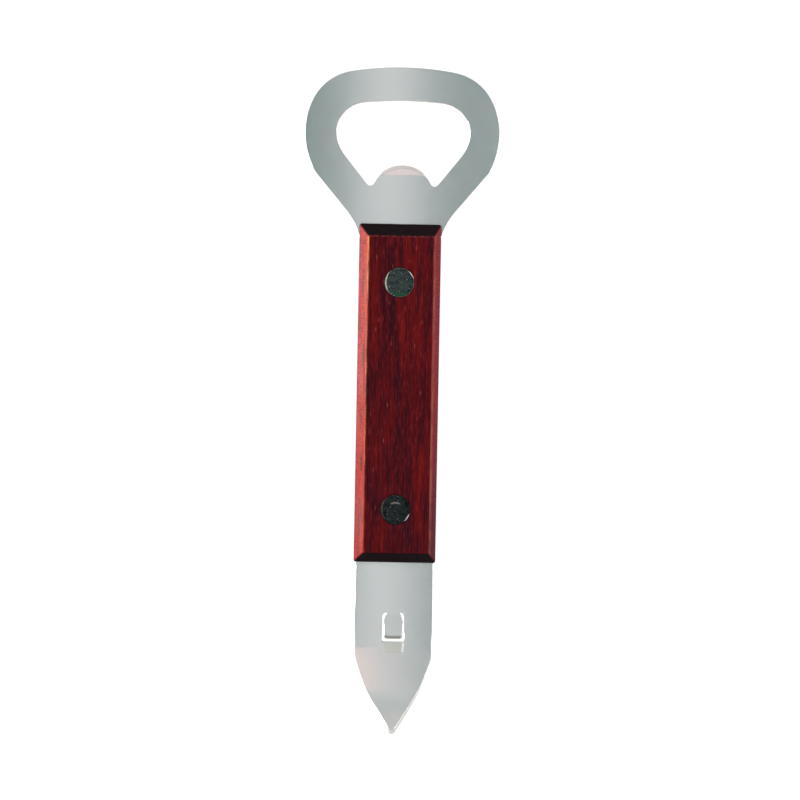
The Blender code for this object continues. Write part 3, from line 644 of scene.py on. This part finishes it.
patina_colour = add_node(tree, "ValToRGB", Fac=patina, stops=(
    (0.34, "#262c2f"), (0.46, "#363d3e"), (0.54, "#464e4e"), (0.66, "#2f4a38")))
# The lower rivet is painted darker than the upper one
lower_rivet_darkening = add_node(tree, "MapRange", SMOOTH, Value=along, From_Min=-0.02, From_Max=0.02,
                    To_Min=LOWER_RIVET_TONE, To_Max=UPPER_RIVET_TONE)
scratch_lines = add_node(tree, "MapRange", SMOOTH, Value=scratches, From_Min=0.62, From_Max=0.72)
scratch_share = add_node(tree, "Math", TIMES, i0=scratch_lines, i1=0.35)
speck_dots = add_node(tree, "MapRange", SMOOTH, Value=cells.outputs["Distance"],
                      From_Min=0.14, From_Max=0.34, To_Min=1.0, To_Max=0.0)
speck_pick = add_node(tree, "MapRange", SMOOTH, Value=cell_pick.outputs["Red"],
                      From_Min=0.62, From_Max=0.95)
specks = add_node(tree, "Math", TIMES, i0=speck_dots, i1=speck_pick)
speck_strength = add_node(tree, "MapRange", SMOOTH, Value=along, From_Min=-0.02, From_Max=0.02,
                          To_Min=0.35, To_Max=0.80)
speck_share = add_node(tree, "Math", TIMES, i0=specks, i1=speck_strength)

# Painted highlight on the rim, brightest on the left. Both rivets' middles lie the same distance from one
# line, so the distance from either middle comes from one small sum.
between = (rivet_places["upper"] + rivet_places["lower"]) / 2
spread = (rivet_places["upper"] - rivet_places["lower"]) / 2
off_line = add_node(tree, "Math", UNSIGNED, i0=add_node(tree, "Math", MINUS, i0=along, i1=between))
outward = add_node(tree, "Math", MINUS, i0=off_line, i1=spread)
radius = add_node(tree, "VectorMath", {"operation": "LENGTH"}, i0=add_node(
    tree, "CombineXYZ", X=place.outputs["X"], Y=outward))
leftness = add_node(tree, "Math", {"operation": "DIVIDE"}, i0=place.outputs["X"], i1=-RIVET_HEAD_RADIUS)
crescent = add_node(tree, "MapRange", SMOOTH, Value=leftness, From_Min=0.60, From_Max=0.92)
rim_start = add_node(tree, "MapRange", SMOOTH, Value=crescent, To_Min=NARROW_RIM, To_Max=CRESCENT_RIM)
past_start = add_node(tree, "Math", MINUS, i0=radius, i1=rim_start)
painted_rim_highlight = add_node(tree, "Math", {"operation": "MULTIPLY", "use_clamp": True}, i0=past_start,
                    i1=RIM_SHARPNESS)
rim_patches = add_node(tree, "TexNoise", Scale=1.0, Detail=3.0, Roughness=0.5, Vector=add_node(
    tree, "Mapping", Vector=here, Scale=[0.9 * MM] * 3, Location=(2, 8, 0)))
# what the painted rim highlight follows, its two limits, and its strength at each
for guide, low, high, least, most in ((leftness, 0.45, 0.85, 0.16, 1.0), (rim_patches, 0.35, 0.60, 0.6, 1.0),
                                      (along, -0.02, 0.02, 0.13, 1.0)):
    painted_rim_highlight = add_node(tree, "Math", TIMES, i0=painted_rim_highlight, i1=add_node(
        tree, "MapRange", SMOOTH, Value=guide, From_Min=low, From_Max=high, To_Min=least, To_Max=most))
# A painted glint on the rim: upper right on the upper head, lower right on the lower one
to_glint = add_node(tree, "Math", PLUS,
                    i0=add_node(tree, "Math", TIMES, i0=place.outputs["X"], i1=0.83),
                    i1=add_node(tree, "Math", TIMES, i0=outward, i1=0.55))
glint = add_node(tree, "MapRange", SMOOTH, Value=to_glint, From_Min=0.00358, From_Max=0.00372)

# A green stain low on the upper head, and a painted highlight, a pale arc, above the middle of the lower one
stain = add_node(tree, "MapRange", SMOOTH, Value=outward, From_Min=-0.0033, From_Max=-0.0024,
                 To_Min=1.0, To_Max=0.0)
for guide, low, high, least, most in ((along, 0.0, 0.001, 0.0, 1.0), (radius, 0.0034, 0.0037, 0.8, 0.0)):
    stain = add_node(tree, "Math", TIMES, i0=stain, i1=add_node(
        tree, "MapRange", SMOOTH, Value=guide, From_Min=low, From_Max=high, To_Min=least, To_Max=most))
off_arc = add_node(tree, "Math", UNSIGNED, i0=add_node(tree, "Math", MINUS, i0=radius, i1=PAINTED_HIGHLIGHT_ARC_RADIUS))
painted_light_patch = add_node(tree, "MapRange", SMOOTH, Value=off_arc, From_Min=0.0001, From_Max=0.00035,
               To_Min=1.0, To_Max=0.0)
for guide, low, high, least, most in ((outward, -0.0016, -0.0013, 1.0, 0.0), (along, -0.001, 0.0, 0.7, 0.0)):
    painted_light_patch = add_node(tree, "Math", TIMES, i0=painted_light_patch, i1=add_node(
        tree, "MapRange", SMOOTH, Value=guide, From_Min=low, From_Max=high, To_Min=least, To_Max=most))

# Over the dark metal: scratches, specks, the painted rim highlight, the painted glint, the green stain and
# the painted pale arc
colour = add_node(tree, "Mix", STAINED, i0=1.0, i6=patina_colour, i7=lower_rivet_darkening)
for share, tone in ((scratch_share, "#8a979a"), (speck_share, "#8fa2a0"), (painted_rim_highlight, "#fff4e4"),
                    (glint, "#ffffff"), (stain, "#1d5c38"), (painted_light_patch, "#8d8c86")):
    colour = add_node(tree, "Mix", OVER, i0=share, i6=colour, i7=linear(tone))
roughness = add_node(tree, "MapRange", SMOOTH, Value=patina, From_Min=0.3, From_Max=0.7,
                     To_Min=0.25, To_Max=0.36)
tree.links.new(colour.outputs[2], shader.inputs["Base Color"])
tree.links.new(roughness.outputs[0], shader.inputs["Roughness"])

for name, y in rivet_places.items():
    post = rivet_half(f"{name}_rivet_head_and_post", y, head_front, SHANK_RADIUS,
                      head_front - RIVET_HEAD_THICKNESS - shank_end)
    socket = rivet_half(f"{name}_rivet_head_and_tube", y, head_front, TUBE_RADIUS,
                        tube_end - socket_back - RIVET_HEAD_THICKNESS, SHANK_RADIUS + CAD_GAP)
    make_active(socket)
    bpy.ops.object.mode_set(mode="EDIT")
    bpy.ops.mesh.select_all(action="SELECT")
    bpy.ops.transform.rotate(value=pi, orient_axis="Y", center_override=(0, y, sheet_middle))
    bpy.ops.object.mode_set(mode="OBJECT")
    for half, node in ((post, f"{name}_rivet_post"), (socket, f"{name}_rivet_socket")):
        half.data.materials.append(rivet_steel)
        finish_smooth(half, radians(40))
        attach(half, "root")
        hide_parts(node)
